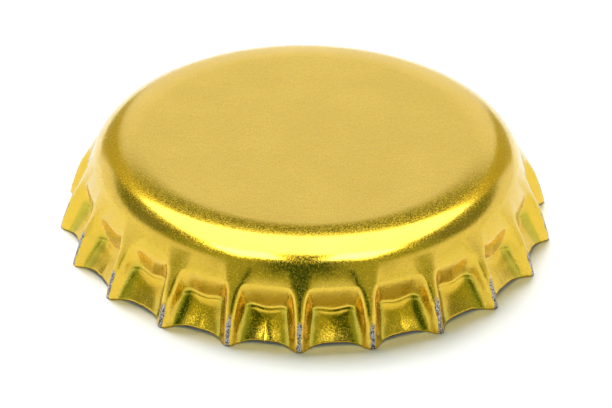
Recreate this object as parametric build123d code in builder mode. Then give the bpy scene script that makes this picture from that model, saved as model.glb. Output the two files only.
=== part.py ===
"""Crown cork: the pressed metal cap of a glass bottle, with the sealing liner moulded inside it.

Millimetres, +Z up. The origin is on the axis, at the level of the ridges' feet, so the cap stands on
the XY plane with its top face upwards. One ridge points to the front, along -Y.
"""
import os
from math import atan, cos, pi, radians, sin, sqrt, tan

from build123d import *

# ---------------------------------------------------------------- driving dimensions
height = 6.2  # from the ridges' feet to the top face
sheet = 0.24  # tinplate gauge
ridge_count = 21

body_radius = 13.6  # outside the panels, just under the corner
crimp = 0.2  # how far the throat is squeezed in from there
lip_flare = 1.2  # how far the panels flare out from the throat, carried down to the feet
foot_proud = 0.8  # how far a ridge's foot stands out from the flared panels
crease_height = 2.0  # where the flared lip turns into the throat
throat_length = 1.0  # the straight band above the crease

corner_radius = 2.4  # bend from the top into the skirt
crown_radius = 7.5  # softer bend between the flat top and the corner
crown_angle = radians(12)  # how far the softer bend turns

ridge_width = 1.1  # across a ridge, half way out
ridge_blend = 0.45  # from a ridge's side to where its root meets the panel
ridge_spread = 1.2  # how much wider a ridge grows as it runs into the corner
ridge_end_drop = 1.4  # below the top face, where a ridge has died away
ridge_end_rise = 0.02  # what is left of a ridge there, above its root
ridge_root_sink = 0.2  # a ridge's root starts this far inside the panel
crest_bow = 1.35  # how far a crest bows out on its way up to the corner: 1 is straight

arch_rise = 0.2  # the lower edge lifts between the feet
foot_width = 0.9  # flat at the bottom of a ridge

liner_thickness = 0.35  # membrane over the middle of the top
ring_width = 2.5  # sealing ring, from its outside to its inside
ring_depth = 1.0  # sealing ring, below the inside of the top
ring_round = 0.2  # rounding of the ring's lower edges
liner_clearance = 0.05  # between the liner and the corner of the shell

# ---------------------------------------------------------------- worked out from them
throat_radius = body_radius - crimp
foot_radius = throat_radius + lip_flare + foot_proud
lip_angle = atan(lip_flare / crease_height)
throat_top = crease_height + throat_length
corner_centre_radius = body_radius - corner_radius
corner_centre_height = height - crown_radius + (crown_radius - corner_radius) * cos(crown_angle)
flat_radius = corner_centre_radius - (crown_radius - corner_radius) * sin(crown_angle)
front_ridge = -90  # degrees from +X
ridge_pitch = 360 / ridge_count

half_span = pi * foot_radius / ridge_count - foot_width / 2
arch_radius = (half_span**2 + arch_rise**2) / (2 * arch_rise)
arch_reach = 2 * (foot_radius - throat_radius)


# Every function below takes an inset: 0 for the outside of the sheet, the gauge for its inside.
def crease_level(inset):
    """Height of the crease, which drops a little on the inside of the sheet."""
    return crease_height - inset * tan(lip_angle / 2)


def ridge_end(inset):
    """Height at which a ridge has died away into the corner."""
    return height - ridge_end_drop - inset


def corner_edge(level, inset):
    """Radius of the corner bend at a height."""
    bend = corner_radius - inset
    return corner_centre_radius + sqrt(bend**2 - (level - corner_centre_height) ** 2)


def panel_radius(level, inset):
    """Radius of the skirt between the ridges at a height."""
    throat = throat_radius - inset
    if level < crease_level(inset):
        return throat + (crease_level(inset) - level) * tan(lip_angle)
    if level < throat_top:
        return throat
    if level < corner_centre_height:
        climb = (level - throat_top) / (corner_centre_height - throat_top)
        return throat + climb * crimp
    return corner_edge(level, inset)


def crest_radius(level, inset):
    """Radius of a ridge's crest: leaning in from the foot, and a little more towards the corner."""
    end_radius = panel_radius(ridge_end(inset), inset) - ridge_root_sink + ridge_end_rise
    reach = 1 - (level / ridge_end(inset)) ** crest_bow
    return end_radius + (foot_radius - inset - end_radius) * reach


def ridge_section(level, inset):
    """Horizontal section of one ridge along +X, closed off inside the skirt."""
    climb = max(0, (level - throat_top) / (ridge_end(inset) - throat_top))
    half_width = ridge_width / 2 * (1 + ridge_spread * climb**2)
    root = panel_radius(level, inset) - ridge_root_sink
    root_half = half_width + ridge_blend
    crest = crest_radius(level, inset)
    # these two pulls hold the curve upright at half_width when it is half way out
    root_pull = (4 * (half_width - inset) - 2 * root_half) / 3
    crest_pull = root_half + root_pull
    back = root - corner_radius
    with BuildSketch(Plane.XY.offset(level)) as section:
        with BuildLine():
            Bezier((root, root_half), (root, root_pull), (crest, crest_pull), (crest, 0))
            Bezier((crest, 0), (crest, -crest_pull), (root, -root_pull), (root, -root_half))
            Polyline((root, -root_half), (back, -root_half), (back, root_half), (root, root_half))
        make_face()
    return section.sketch


def ridge_form(inset):
    """One ridge along +X, from its foot to the crease, and from there up into the corner."""
    crease = crease_level(inset)
    rise = ridge_end(inset) - crease
    lip_sections = [ridge_section(crease * share, inset) for share in (0, 1 / 2, 1)]
    wall_shares = [sin(step * pi / 12) for step in range(7)]  # closer together as the crest bends over
    wall_sections = [ridge_section(crease + rise * share, inset) for share in wall_shares]
    with BuildPart() as ridge:
        loft(lip_sections)
        loft(wall_sections)
    return ridge.part


def body_form(inset):
    """The cap without its ridges: flat top, softer bend, corner, wall, throat band and flared lip."""
    top = height - inset
    crown = crown_radius - inset
    wall_end = (body_radius - inset, corner_centre_height)
    crown_end = (flat_radius + crown * sin(crown_angle), top - crown * (1 - cos(crown_angle)))
    with BuildPart() as body:
        with BuildSketch(Plane.XZ):
            with BuildLine():
                Polyline(
                    (0, top),
                    (0, 0),
                    (panel_radius(0, inset), 0),
                    (throat_radius - inset, crease_level(inset)),
                    (throat_radius - inset, throat_top),
                    wall_end,
                )
                TangentArc(wall_end, crown_end, tangent=(0, 1))
                RadiusArc(crown_end, (flat_radius, top), -crown)
                Line((flat_radius, top), (0, top))
            make_face()
        revolve(axis=Axis.Z)
    return body.part


def cap_form(inset):
    """The solid that the sheet's outside bounds, or its inside."""
    body = body_form(inset)
    ridge = ridge_form(inset)
    with BuildPart() as form:
        add(body)
        with PolarLocations(0, ridge_count, start_angle=front_ridge):
            add(ridge)
    return form.part


# ---------------------------------------------------------------- pressed shell
outside = cap_form(0)
inside = cap_form(sheet)
with BuildPart() as crown_shell:
    add(outside)
    add(inside, mode=Mode.SUBTRACT)
    with PolarLocations(foot_radius, ridge_count, start_angle=front_ridge + ridge_pitch / 2):
        with Locations((0, 0, arch_rise - arch_radius)):
            Cylinder(arch_radius, arch_reach, rotation=(0, 90, 0), mode=Mode.SUBTRACT)

# ---------------------------------------------------------------- sealing liner
seat = height - sheet  # the inside of the top, which the liner is moulded against
ring_bottom = seat - ring_depth
liner_crown = crown_radius - sheet
liner_flat = flat_radius - liner_clearance
liner_crown_end = (
    liner_flat + liner_crown * sin(crown_angle),
    seat - liner_crown * (1 - cos(crown_angle)),
)
ring_outer_radius = corner_edge(ring_bottom, sheet) - liner_clearance
ring_inner_radius = ring_outer_radius - ring_width
with BuildPart() as sealing_liner:
    with BuildSketch(Plane.XZ):
        with BuildLine():
            Line((0, seat), (liner_flat, seat))
            RadiusArc((liner_flat, seat), liner_crown_end, liner_crown)
            RadiusArc(liner_crown_end, (ring_outer_radius, ring_bottom), corner_radius - sheet)
            Polyline(
                (ring_outer_radius, ring_bottom),
                (ring_inner_radius, ring_bottom),
                (ring_inner_radius, seat - liner_thickness),
                (0, seat - liner_thickness),
                (0, seat),
            )
        make_face()
    revolve(axis=Axis.Z)
    lower_edges = sealing_liner.edges().filter_by(GeomType.CIRCLE).group_by(Axis.Z)[0]
    fillet(lower_edges, radius=ring_round)

os.makedirs("parts", exist_ok=True)
crown_shell.part.label = "crown_shell"
export_step(crown_shell.part, "parts/crown_shell.step")
sealing_liner.part.label = "sealing_liner"
export_step(sealing_liner.part, "parts/sealing_liner.step")
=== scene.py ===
from math import cos, pi, radians, sin, sqrt

import bpy
import numpy as np
from mathutils import Matrix, Vector


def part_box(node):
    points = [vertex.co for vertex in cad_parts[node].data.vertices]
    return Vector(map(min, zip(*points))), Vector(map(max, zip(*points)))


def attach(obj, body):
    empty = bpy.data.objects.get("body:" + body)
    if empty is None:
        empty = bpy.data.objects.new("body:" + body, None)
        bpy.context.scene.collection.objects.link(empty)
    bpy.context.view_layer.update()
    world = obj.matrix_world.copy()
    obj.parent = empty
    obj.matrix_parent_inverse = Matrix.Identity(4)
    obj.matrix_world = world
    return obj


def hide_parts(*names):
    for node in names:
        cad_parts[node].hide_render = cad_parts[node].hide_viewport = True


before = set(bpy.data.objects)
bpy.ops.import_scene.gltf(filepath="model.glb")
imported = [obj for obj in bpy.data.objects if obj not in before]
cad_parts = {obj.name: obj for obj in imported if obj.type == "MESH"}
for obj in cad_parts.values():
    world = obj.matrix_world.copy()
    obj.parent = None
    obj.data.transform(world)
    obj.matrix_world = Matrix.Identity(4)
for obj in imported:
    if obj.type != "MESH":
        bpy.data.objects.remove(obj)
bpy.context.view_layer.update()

MM = 0.001
RIDGES = 21
PITCH = 2 * pi / RIDGES

# ---------------------------------------------------------------- sizes, in millimetres
shell_low, shell_high = (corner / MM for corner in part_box("crown_shell"))
liner_low, liner_high = (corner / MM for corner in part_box("sealing_liner"))
HEIGHT = shell_high.z
FOOT = -shell_low.y  # outside the front ridge's foot
SHEET = HEIGHT - liner_high.z
BODY = FOOT - 1.8  # outside the panels, just under the corner
THROAT = BODY - 0.2  # outside the panels, just above the crease
EDGE = THROAT + 1.0  # outside the panels, at their lower edge
CREASE = 2.0  # height of the fold where the lip starts to flare
SAG = 0.16  # how much lower the crease is in the middle of a panel than beside the ridges
ARCH = 0.2  # how far the lower edge lifts between the feet

CORNER = 2.4  # radius of the bend from the top into the skirt
CROWN = 7.5  # radius of the softer bend between the flat and the corner
CROWN_TURN = radians(12)  # how far the softer bend turns
CORNER_R = BODY - CORNER
CORNER_Z = HEIGHT - CROWN + (CROWN - CORNER) * cos(CROWN_TURN)
FLAT = CORNER_R - (CROWN - CORNER) * sin(CROWN_TURN)  # where the flat top ends
DRAW_IN = 0.08  # the panels are drawn in this much where they leave the corner
CONE = radians(22)  # the corner ends at this slope, and the skirt starts as a cone
CONE_LENGTH = 0.9
DRAW_HEIGHTS = 4.5, 5.6  # the panels are drawn in between these heights, from the upper one down

CREST_END = 4.8  # height where a crest has sunk into the corner
CREST_SINK = 0.12  # how deep it has sunk there
CREST_BOW = 1.35  # how far a crest bows out on its way up: 1 is straight
CREST_FADE = 4.3, 5.2  # the last of a crest fades away between these heights
RIDGE_HALF = 0.52  # half a ridge's width, half way out
ROOT_BLEND = 0.75  # from there to where its root meets the panel
SPREAD = 2.9, 4.7  # a ridge widens into the corner between these heights

RIDGE_STEPS = 12  # points across half a ridge
PANEL_STEPS = 11  # points across a panel, between the roots of two ridges
PANEL_ACROSS = 2.0  # what "across" says on a panel, away from every ridge
LINER_STEPS = 240  # points round the liner
random = np.random.default_rng(21)


# ---------------------------------------------------------------- small helpers
def smooth(x, low, high):
    """0 below low, 1 above high, smooth between."""
    t = np.clip((x - low) / (high - low), 0, 1)
    return t * t * (3 - 2 * t)


def bezier(points, count):
    """Points along a cubic curve."""
    p = np.array(points, float)
    t = np.linspace(0, 1, count)[:, None]
    return (1 - t) ** 3 * p[0] + 3 * (1 - t) ** 2 * t * p[1] + 3 * (1 - t) * t**2 * p[2] + t**3 * p[3]


def arc(radius, centre, start, end, count):
    """Points on an arc in the (radius, height) plane, by the elevation of its normal in radians."""
    turn = np.linspace(start, end, count)
    return np.stack([centre[0] + radius * np.cos(turn), centre[1] + radius * np.sin(turn)], 1)


def add_object(name, data):
    """An object in the scene that shows a mesh, a lamp or a camera."""
    thing = bpy.data.objects.new(name, data)
    bpy.context.scene.collection.objects.link(thing)
    return thing


def closed_piece(name, grid, first_hub, last_hub):
    """A closed mesh from rings of points in millimetres, with a fan at each end."""
    rings, columns = grid.shape[:2]
    vertices = np.concatenate([grid.reshape(-1, 3), [first_hub, last_hub]]) * MM
    last_ring = (rings - 1) * columns
    first = rings * columns  # number of the first hub; the last hub is the next one
    faces = []
    for a in range(0, last_ring, columns):
        b = a + columns
        for j in range(columns):
            n = (j + 1) % columns
            faces.append((a + j, b + j, b + n, a + n))
    for j in range(columns):
        n = (j + 1) % columns
        faces.append((first, j, n))
        faces.append((first + 1, last_ring + n, last_ring + j))
    mesh = bpy.data.meshes.new(name)
    mesh.from_pydata(vertices.tolist(), [], faces)
    mesh.validate()
    mesh.shade_smooth()
    return add_object(name, mesh)


# ---------------------------------------------------------------- the pressed shell
def panel_profile():
    """(radius, height) down the middle of a panel, from the first ring of the top to the lower edge."""
    flat = np.array([(r, HEIGHT) for r in (2.5, 5.0, 7.5, 9.3)])
    crown = arc(CROWN, (FLAT, HEIGHT - CROWN), pi / 2, pi / 2 - CROWN_TURN, 8)
    corner = arc(CORNER, (CORNER_R, CORNER_Z), pi / 2 - CROWN_TURN, CONE, 20)
    corner[:, 0] -= DRAW_IN * (1 - smooth(corner[:, 1], *DRAW_HEIGHTS))
    down_cone = np.array([sin(CONE), -cos(CONE)])
    cone_end = corner[-1] + CONE_LENGTH * down_cone
    fold_top = (THROAT, CREASE + 0.16)
    fold_end = (THROAT + 0.07, CREASE - 0.08)
    wall = bezier([cone_end, cone_end + 0.22 * down_cone, (THROAT + 0.20, CREASE + 1.0), fold_top], 16)
    fold = bezier([fold_top, (THROAT, CREASE + 0.08), (THROAT + 0.01, CREASE), fold_end], 7)
    lip = bezier([fold_end, (THROAT + 0.12, CREASE - 0.62), (EDGE - 0.29, 0.65), (EDGE, ARCH)], 18)
    return np.concatenate([flat, crown, corner[1:], wall[1:], fold[1:], lip[1:]])


def crest_radius(heights):
    """Radius of a ridge's crest: it leans in from the foot, and a little more towards the corner."""
    end = CORNER_R + sqrt(CORNER**2 - (CREST_END - CORNER_Z) ** 2) - CREST_SINK
    return end + (FOOT - end) * (1 - np.clip(heights / CREST_END, 0, 1) ** CREST_BOW)


def crest_reach(radius, level):
    """How far a crest stands out from the panels. It dies away smoothly into the corner."""
    raised = crest_radius(np.maximum(level, 0)) - radius
    never_below_zero = 0.5 * (raised + np.sqrt(raised**2 + 0.05**2))
    return never_below_zero * (1 - smooth(level, *CREST_FADE))


def shell_grid():
    """Radius, angle and height of points all over the outside, and their distance from a crest's middle."""
    profile = panel_profile()
    radius, level = profile[:, 0][:, None], profile[:, 1][:, None]
    skirt = 1 - np.clip((level - ARCH) / (CREASE - ARCH), 0, 1)  # 0 at the crease, 1 at the foot
    climb = smooth(level, *SPREAD)  # 1 where a ridge has spread into the corner
    reach = crest_reach(radius, level)
    half = RIDGE_HALF * (1 + 0.12 * skirt + 0.7 * climb)
    blend = ROOT_BLEND + 0.65 * smooth(skirt, 0, 0.5) + 0.1 * climb

    # no two ridges or panels are quite alike
    short = random.uniform(0, 0.10, RIDGES)  # how far a foot falls short
    lean = random.normal(0, 0.05, RIDGES)  # sideways, at the foot
    width = 1 + random.normal(0, 0.05, RIDGES)
    turn = random.normal(0, 0.03, RIDGES)  # away from the ridge's even place
    flare = random.normal(-0.03, 0.03, RIDGES)  # of a panel's lower edge
    flare[-1] = 0.08  # the panel left of the front ridge is bent out further

    # the last panel ends at the first ridge, one whole turn on
    ridges = [*range(RIDGES), 0]
    centres = [-pi / 2 + PITCH * k + (turn[j] + lean[j] * skirt) / BODY for k, j in enumerate(ridges)]
    halves = [half * width[j] for j in ridges]
    roots = [ridge_half + blend for ridge_half in halves]
    half_steps = np.linspace(0, 1, RIDGE_STEPS)  # 0 at the root, 1 on the crest
    outward = smooth(half_steps, 0, 1)
    panel_steps = np.linspace(-1, 1, PANEL_STEPS + 2)[1:-1]
    points = []
    for k in range(RIDGES):
        pull = (8 * halves[k] - roots[k]) / 3  # makes the side pass through its half width, half way out
        rise = reach - short[k] * (1 - np.clip(level / 3, 0, 1))
        for side, steps in ((-1, range(RIDGE_STEPS)), (1, range(RIDGE_STEPS - 2, -1, -1))):
            for step in steps:
                v = half_steps[step]
                aside = (1 - v) ** 3 * roots[k] + 3 * (1 - v) * v * (0.3 * (1 - v) + 0.7 * v) * pull
                r = radius + rise * outward[step]
                points.append((r, centres[k] + side * aside / np.maximum(r, BODY), np.abs(aside)))
        left = centres[k] + roots[k] / np.maximum(radius, BODY)
        right = centres[k + 1] - roots[k + 1] / np.maximum(radius, BODY)
        for w in panel_steps:
            push = flare[k] * (1 - w**2) * skirt**3
            angle = left + (right - left) * (w + 1) / 2
            points.append((radius + push, angle, np.full_like(level, PANEL_ACROSS)))
    r, angle, across = (np.hstack(columns) for columns in zip(*points))
    z = np.broadcast_to(level, r.shape).copy()
    phase = (angle + pi / 2) / PITCH
    middle = 2 * np.abs(phase - np.round(phase))  # 0 on a ridge, 1 in the middle of a panel
    z -= ARCH * skirt * (1 - smooth(middle, 0.15, 0.7))
    near_crease = smooth(z, 0.9, CREASE) * (1 - smooth(z, CREASE, 3.2))
    z -= SAG * near_crease * (smooth(middle, 0.45, 1.0) - 0.5)
    return r, angle, z, across


def build_shell():
    """The outside, the cut lower edge and the inside, one sheet's thickness further in."""
    r, angle, z, across = shell_grid()
    outside = np.stack([r * np.cos(angle), r * np.sin(angle), z], 2)
    down = np.gradient(outside, axis=0)
    sideways = np.roll(outside, -1, 1) - np.roll(outside, 1, 1)
    normal = np.cross(down, sideways)
    normal /= np.linalg.norm(normal, axis=2, keepdims=True)
    down /= np.linalg.norm(down, axis=2, keepdims=True)
    inside = outside - SHEET * normal
    inset, bulge = 0.04 * normal[-1], 0.02 * down[-1]  # the cut edge is a little rounded
    rim = np.stack([outside[-1] - inset + bulge, inside[-1] + inset + bulge])
    grid = np.concatenate([outside, rim, inside[::-1]])
    grid[..., 2] = np.maximum(grid[..., 2], 0)
    shell = closed_piece("cap_shell", grid, (0, 0, HEIGHT), (0, 0, HEIGHT - SHEET))

    rows, columns = z.shape
    skin = np.concatenate([np.zeros(rows), [0.5, 0.5], np.ones(rows)])  # outside, cut edge, inside
    across = np.concatenate([across, across[-1:], across[-1:], across[::-1]])
    attributes = {
        "across": np.append(across, [PANEL_ACROSS, PANEL_ACROSS]),
        "skin": np.append(np.repeat(skin, columns), [0, 1]),
    }
    for name, values in attributes.items():
        attribute = shell.data.attributes.new(name, "FLOAT", "POINT")
        attribute.data.foreach_set("value", values.astype(np.float32))
    return shell


# ---------------------------------------------------------------- the sealing liner
def build_liner():
    """The moulded disc: a thin membrane, an inner bead, a wide sealing ring and its soft lower edges."""
    seat, low, outer = liner_high.z, liner_low.z, liner_high.x
    membrane = seat - 0.35
    ring = outer - 2.3
    bead, bead_low = ring - 1.05, membrane - 0.16
    below = np.concatenate([
        [(3.0, membrane), (6.0, membrane), (bead - 0.55, membrane)],
        bezier([(bead - 0.4, membrane), (bead - 0.2, membrane), (bead - 0.25, bead_low),
                (bead, bead_low)], 6),
        bezier([(bead, bead_low), (bead + 0.25, bead_low), (bead + 0.2, membrane),
                (bead + 0.45, membrane)], 6)[1:],
        bezier([(ring - 0.3, membrane), (ring + 0.1, membrane), (ring - 0.05, low), (ring + 0.3, low)], 9),
        bezier([(ring + 0.9, low), (ring + 1.2, low), (ring + 1.1, low + 0.12), (ring + 1.4, low + 0.1)], 6),
        bezier([(ring + 1.8, low + 0.02), (outer - 0.05, low), (outer, low + 0.1), (outer, low + 0.22)], 8),
    ])
    above = [(6.0, seat), (FLAT - 0.2, seat), (outer - 1.6, seat - 0.12), (outer - 0.7, seat - 0.28),
             (outer - 0.25, seat - 0.42)]
    radius, level = np.concatenate([above, below[::-1]]).T
    turn = np.linspace(0, 2 * pi, LINER_STEPS, endpoint=False)
    grid = np.stack([np.outer(radius, np.cos(turn)), np.outer(radius, np.sin(turn)),
                     np.outer(level, np.ones(LINER_STEPS))], 2)
    return closed_piece("cap_liner", grid, (0, 0, seat), (0, 0, membrane))


# ---------------------------------------------------------------- materials
class Nodes:
    """Short names for making and joining shader nodes."""

    def __init__(self, tree):
        self.tree = tree
        self.tree.nodes.clear()

    def put(self, socket, value):
        if isinstance(value, bpy.types.NodeSocket):
            self.tree.links.new(value, socket)
        else:
            socket.default_value = value

    def add(self, kind, inputs=None, **settings):
        node = self.tree.nodes.new(kind)
        for key, value in settings.items():
            setattr(node, key, value)
        for key, value in (inputs or {}).items():
            self.put(node.inputs[key], value)
        return node

    def math(self, operation, a, b=0.0):
        return self.add("ShaderNodeMath", {0: a, 1: b}, operation=operation).outputs[0]

    def times(self, a, b):
        return self.math("MULTIPLY", a, b)

    def ramp(self, value, low, high, to_low=0.0, to_high=1.0):
        """From one value at low to another at high, smooth between."""
        return self.add("ShaderNodeMapRange", {"Value": value, "From Min": low, "From Max": high,
                                               "To Min": to_low, "To Max": to_high},
                        interpolation_type="SMOOTHSTEP").outputs[0]

    def fade(self, value, low, high):
        """1 below low, 0 above high."""
        return self.ramp(value, low, high, 1.0, 0.0)

    def mix(self, factor, a, b):
        node = self.add("ShaderNodeMix", data_type="RGBA")
        for socket, value in ((0, factor), (6, a), (7, b)):
            self.put(node.inputs[socket], value)
        return node.outputs[2]

    def noise(self, vector, scale, detail=2.0, roughness=0.5):
        return self.add("ShaderNodeTexNoise", {"Vector": vector, "Scale": scale, "Detail": detail,
                                               "Roughness": roughness}).outputs["Fac"]


def new_material(name):
    material = bpy.data.materials.new(name)
    material.use_nodes = True
    return material, Nodes(material.node_tree)


def lacquer_colour(n, mottle, grain, level, across):
    """Gold, a little uneven, deeper in a band on the panels just below the crease, and with painted shade
    beside the roots of the ridges.
    """
    gold = n.mix(n.ramp(mottle, 0.3, 0.7), (0.80, 0.53, 0.032, 1), (0.85, 0.57, 0.044, 1))
    gold = n.mix(n.ramp(grain, 0.35, 0.75, 0, 0.25), gold, (0.70, 0.47, 0.04, 1))
    # a deeper, more orange gold in a band on the panels just below the crease
    lip_band = n.times(n.ramp(level, 0.6 * MM, 1.2 * MM), n.fade(level, 1.7 * MM, 2.2 * MM))
    gold = n.mix(n.times(lip_band, n.ramp(across, 0.8, 1.1)), gold, (0.76, 0.49, 0.012, 1))
    # painted shade: darkens the flanks beside each ridge's root, below the crease, towards a dull olive gold
    root = n.times(n.ramp(across, 0.50, 0.62), n.fade(across, 0.95, 1.2))
    root = n.times(root, n.fade(level, 1.9 * MM, 2.7 * MM))
    return n.mix(n.times(root, 0.6), gold, (0.42, 0.40, 0.012, 1))


def bare_steel(n, place):
    """Scuffed bright and dark steel with specks of rust."""
    speck = n.noise(place, 11000)
    steel = n.mix(n.ramp(speck, 0.44, 0.56), (0.07, 0.06, 0.075, 1), (0.50, 0.48, 0.50, 1))
    rust = n.ramp(n.noise(place, 3100), 0.60, 0.68, 0, 0.75)
    return n.mix(rust, steel, (0.30, 0.09, 0.025, 1))


def worn_crest(n, place, level, across):
    """1 on a narrow strip down each crest, from about the crease to the foot, with ragged edges."""
    ragged = n.ramp(n.noise(place, 1900, 3.0, 0.7), 0.25, 0.75, -0.07, 0.07)
    strip = n.fade(n.math("ADD", across, ragged), 0.11, 0.17)
    uneven = n.ramp(n.noise(place, 420), 0.3, 0.7, -0.5 * MM, 0.5 * MM)
    return n.times(strip, n.fade(n.math("ADD", level, uneven), 1.6 * MM, 2.2 * MM))


def gold_lacquer():
    """Transparent gold lacquer over bright tinplate, rubbed to bare steel on the feet of the ridges."""
    material, n = new_material("gold_lacquer")
    place = n.add("ShaderNodeTexCoord").outputs["Object"]
    level = n.add("ShaderNodeSeparateXYZ", {0: place}).outputs[2]
    across = n.add("ShaderNodeAttribute", attribute_name="across").outputs["Fac"]
    skin = n.add("ShaderNodeAttribute", attribute_name="skin").outputs["Fac"]
    grain = n.noise(place, 9000)
    mottle = n.noise(place, 260, 3.0)

    gold = lacquer_colour(n, mottle, grain, level, across)
    tin = n.mix(n.ramp(mottle, 0.3, 0.7), (0.66, 0.60, 0.42, 1), (0.74, 0.67, 0.47, 1))
    inside = n.math("GREATER_THAN", skin, 0.75)
    cut_edge = n.times(n.ramp(skin, 0.2, 0.4), n.math("SUBTRACT", 1.0, inside))
    worn = n.math("MAXIMUM", worn_crest(n, place, level, across), cut_edge)
    colour = n.mix(worn, n.mix(inside, gold, tin), bare_steel(n, place))

    rough = n.math("ADD", n.ramp(grain, 0.3, 0.7, 0.16, 0.28), n.times(worn, 0.25))
    height = n.math("ADD", n.times(grain, 0.6), n.noise(place, 2600))
    bump = n.add("ShaderNodeBump", {"Strength": 0.20, "Distance": 0.02 * MM, "Height": height}).outputs[0]
    shader = n.add("ShaderNodeBsdfPrincipled", {"Base Color": colour, "Metallic": 1.0, "Roughness": rough,
                                                "Coat Weight": 0.7, "Coat Roughness": 0.1, "Normal": bump})
    n.add("ShaderNodeOutputMaterial", {0: shader.outputs[0]})
    return material


def liner_compound():
    """Off-white moulded sealing compound."""
    material, n = new_material("liner_compound")
    place = n.add("ShaderNodeTexCoord").outputs["Object"]
    cloud = n.noise(place, 320, 3.0)
    fine = n.noise(place, 7000)
    colour = n.mix(n.ramp(cloud, 0.3, 0.7), (0.70, 0.72, 0.69, 1), (0.78, 0.79, 0.75, 1))
    bump = n.add("ShaderNodeBump", {"Strength": 0.2, "Distance": 0.02 * MM, "Height": fine}).outputs[0]
    rough = n.ramp(fine, 0.3, 0.7, 0.38, 0.5)
    shader = n.add("ShaderNodeBsdfPrincipled", {"Base Color": colour, "Roughness": rough, "Normal": bump,
                                                "Subsurface Weight": 0.15,
                                                "Subsurface Radius": (0.6 * MM, 0.6 * MM, 0.5 * MM)})
    n.add("ShaderNodeOutputMaterial", {0: shader.outputs[0]})
    return material


shell = build_shell()
shell.data.materials.append(gold_lacquer())
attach(shell, "root")
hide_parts("crown_shell")

liner = build_liner()
liner.data.materials.append(liner_compound())
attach(liner, "root")
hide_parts("sealing_liner")


# ---------------------------------------------------------------- floor, world and lights, in metres
def build_floor():
    """A white table. A faint blue lift, for the camera only, balances the gold's warm glow on it."""
    side = 3.0
    mesh = bpy.data.meshes.new("floor")
    corners = [(-side, -side, 0), (side, -side, 0), (side, side, 0), (-side, side, 0)]
    mesh.from_pydata(corners, [], [(0, 1, 2, 3)])
    material, n = new_material("white_table")
    ray = n.add("ShaderNodeLightPath").outputs["Is Camera Ray"]
    paint = n.add("ShaderNodeBsdfDiffuse", {"Color": (0.94, 0.94, 0.96, 1)}).outputs[0]
    glow = n.times(ray, 0.04)
    lift = n.add("ShaderNodeEmission", {"Color": (0.3, 0.4, 1, 1), "Strength": glow}).outputs[0]
    both = n.add("ShaderNodeAddShader", {0: paint, 1: lift}).outputs[0]
    n.add("ShaderNodeOutputMaterial", {0: both})
    mesh.materials.append(material)
    add_object("floor", mesh)


def build_world():
    """A white card low behind the cap, white sides, a dim room in front and the dark camera in it."""
    world = bpy.data.worlds.new("studio")
    bpy.context.scene.world = world
    world.use_nodes = True
    n = Nodes(world.node_tree)
    direction = n.add("ShaderNodeTexCoord").outputs["Generated"]
    x, y, z = n.add("ShaderNodeSeparateXYZ", {0: direction}).outputs
    wide = n.math("ABSOLUTE", x)
    forward = n.times(y, -1.0)

    # from the horizon in front (0), over the top (0.5), to the horizon behind (1)
    sky = n.add("ShaderNodeValToRGB", {0: n.math("DIVIDE", n.math("ARCTAN2", z, forward), pi)})
    stops = [(0.0, (0.80, 0.78, 0.62)), (0.02, (0.36, 0.39, 0.13)), (0.20, (0.28, 0.32, 0.10)),
             (0.30, (0.26, 0.30, 0.10)), (0.45, (0.16, 0.18, 0.10)), (0.62, (0.20, 0.22, 0.12)),
             (0.74, (0.13, 0.16, 0.05)), (0.79, (0.18, 0.20, 0.07)), (0.82, (1.0, 1.0, 0.97)),
             (1.0, (1.0, 1.0, 1.0))]
    elements = sky.color_ramp.elements
    while len(elements) < len(stops):
        elements.new(0.5)
    for element, (position, colour) in zip(elements, stops):
        element.position = position
        element.color = (*colour, 1)

    sides = n.times(n.ramp(wide, 0.55, 0.75), n.fade(z, 0.12, 0.32))
    colour = n.mix(sides, sky.outputs[0], (0.97, 0.97, 0.96, 1))
    # behind, a brown gap on the left and right between the card and the white sides
    gap = n.times(n.ramp(wide, 0.20, 0.28), n.fade(wide, 0.54, 0.64))
    gap = n.times(gap, n.times(n.ramp(y, 0.3, 0.6), n.ramp(z, 0.0, 0.10)))
    colour = n.mix(gap, colour, (0.50, 0.45, 0.12, 1))
    camera_dark = n.times(n.fade(wide, 0.20, 0.40), n.ramp(z, 0.04, 0.20))
    camera_dark = n.times(camera_dark, n.ramp(forward, 0.1, 0.4))
    colour = n.mix(camera_dark, colour, (0.01, 0.05, 0.01, 1))
    ray = n.add("ShaderNodeLightPath").outputs["Is Camera Ray"]
    colour = n.mix(ray, colour, (1, 1, 1, 1))
    background = n.add("ShaderNodeBackground", {"Color": colour, "Strength": 1.0}).outputs[0]
    n.add("ShaderNodeOutputWorld", {0: background})


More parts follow.
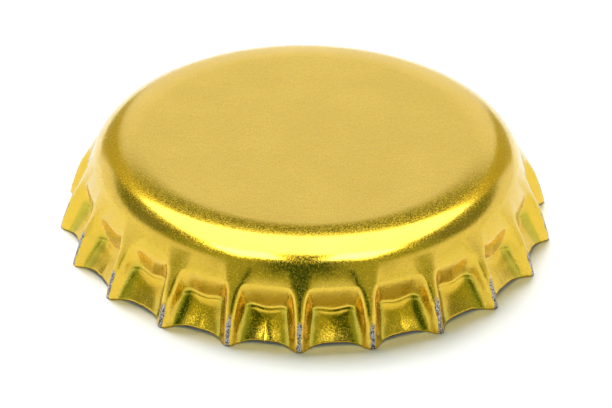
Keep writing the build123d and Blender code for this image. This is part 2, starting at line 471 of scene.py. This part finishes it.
def area_lamp(name, place, aim, width, depth, power):
    """A rectangular lamp at a place, aimed at a point."""
    light = bpy.data.lights.new(name, "AREA")
    light.shape = "RECTANGLE"
    light.size = width
    light.size_y = depth
    light.energy = power
    lamp = add_object(name, light)
    lamp.location = place
    lamp.rotation_euler = (Vector(place) - Vector(aim)).to_track_quat("Z", "Y").to_euler()
    return lamp


def build_softbox():
    """A big flat softbox overhead, with a gap at the front where the camera stands before it."""
    above = 0.5
    front, split, back = -0.56, -0.24, 0.36
    back_half, front_half, half_gap = 0.40, 0.46, 0.12
    for name, radiance, x0, x1, y0, y1 in (("softbox_back", 3.2, -back_half, back_half, split, back),
                                           ("softbox_left", 6.5, -front_half, -half_gap, front, split),
                                           ("softbox_right", 6.5, half_gap, front_half, front, split)):
        width, depth = x1 - x0, y1 - y0
        middle = ((x0 + x1) / 2, (y0 + y1) / 2)
        power = radiance * pi * width * depth
        lamp = area_lamp(name, (*middle, above), (*middle, 0), width, depth, power)
        lamp.visible_diffuse = False  # it is there for the metal; the table is lit by the top lamp


def build_top_lamp():
    """The lamp that lights the table from above and behind. The metal doesn't mirror it."""
    lamp = area_lamp("top_lamp", (-0.10, 0.33, 0.54), (0, 0, 0), 0.24, 0.24, 4.7)
    lamp.data.color = (0.92, 0.94, 1.0)
    lamp.visible_glossy = False


build_floor()
build_world()
build_softbox()
build_top_lamp()


# ---------------------------------------------------------------- camera
def build_camera():
    """At the photograph's viewing angle: high over the front, with a long lens."""
    distance, elevation, azimuth = 0.4614, radians(31.22), radians(1.126)
    pitch, roll = radians(31.07), radians(0.76)
    camera_data = bpy.data.cameras.new("camera")
    camera_data.sensor_width = 36
    camera_data.lens = 433.3
    camera_data.clip_start = 0.01
    camera = add_object("camera", camera_data)
    out = Vector((sin(azimuth), -cos(azimuth), 0))
    look = -out * cos(pitch) - Vector((0, 0, sin(pitch)))
    right = look.cross(Vector((0, 0, 1))).normalized()
    up = right.cross(look)
    right, up = cos(roll) * right + sin(roll) * up, -sin(roll) * right + cos(roll) * up
    turn = Matrix((right, up, -look)).transposed().to_4x4()
    place = out * distance * cos(elevation) + Vector((0, 0, distance * sin(elevation)))
    camera.matrix_world = Matrix.Translation(place) @ turn
    bpy.context.scene.camera = camera


build_camera()
bpy.context.scene.view_settings.view_transform = "Standard"
